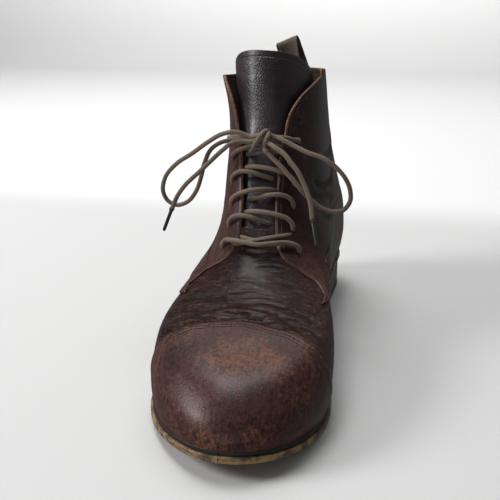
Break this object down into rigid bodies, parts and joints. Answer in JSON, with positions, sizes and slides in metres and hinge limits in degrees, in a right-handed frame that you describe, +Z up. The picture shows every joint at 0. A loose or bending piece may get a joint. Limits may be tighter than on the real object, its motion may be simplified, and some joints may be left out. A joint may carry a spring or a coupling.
{
  "type": "lace-up ankle boot",
  "caption": "Right lace-up ankle boot of worn brown leather with a toe cap, open lacing tied in a bow, a high tongue, a back pull tab and a thin sole on a low stacked heel.",
  "frame": {"origin": "on the floor under the middle of the outsole's box", "axes": "+Z up, +Y from toe to heel, +X to the medial (big toe) side of this right boot"},
  "size_m": [0.1244, 0.2956, 0.1807],
  "materials": {
    "upper_leather": "waxed smooth leather, creased and scuffed",
    "tongue_leather": "soft shiny leather",
    "tab_leather": "matt leather strip",
    "lining_leather": "unfinished leather",
    "sole_leather": "worn raw edge",
    "welt_leather": "blackened edge",
    "heel_rubber": "matt rubber",
    "lace_cord": "waxed round cord",
    "aglet_plastic": "hard lace tip"
  },
  "bodies": {
    "root": {"outsole": "sole_leather", "welt": "welt_leather", "heel_stack": "sole_leather", "heel_top_piece": "heel_rubber", "insole": "lining_leather", "upper": "upper_leather", "tongue": "tongue_leather", "pull_tab": "tab_leather", "lace_bar": "lace_cord", "lace_low_cross": "lace_cord", "lace_cross_1": "lace_cord", "lace_cross_2": "lace_cord", "lace_cross_3": "lace_cord", "lace_cross_4": "lace_cord", "lace_to_knot_lateral": "lace_cord", "lace_to_knot_medial": "lace_cord", "lace_knot": "lace_cord", "lace_loop_lateral": "lace_cord", "lace_loop_medial": "lace_cord", "lace_end_lateral": "lace_cord", "lace_end_medial": "lace_cord", "aglet_lateral": "aglet_plastic", "aglet_medial": "aglet_plastic"}
  },
  "joints": []
}
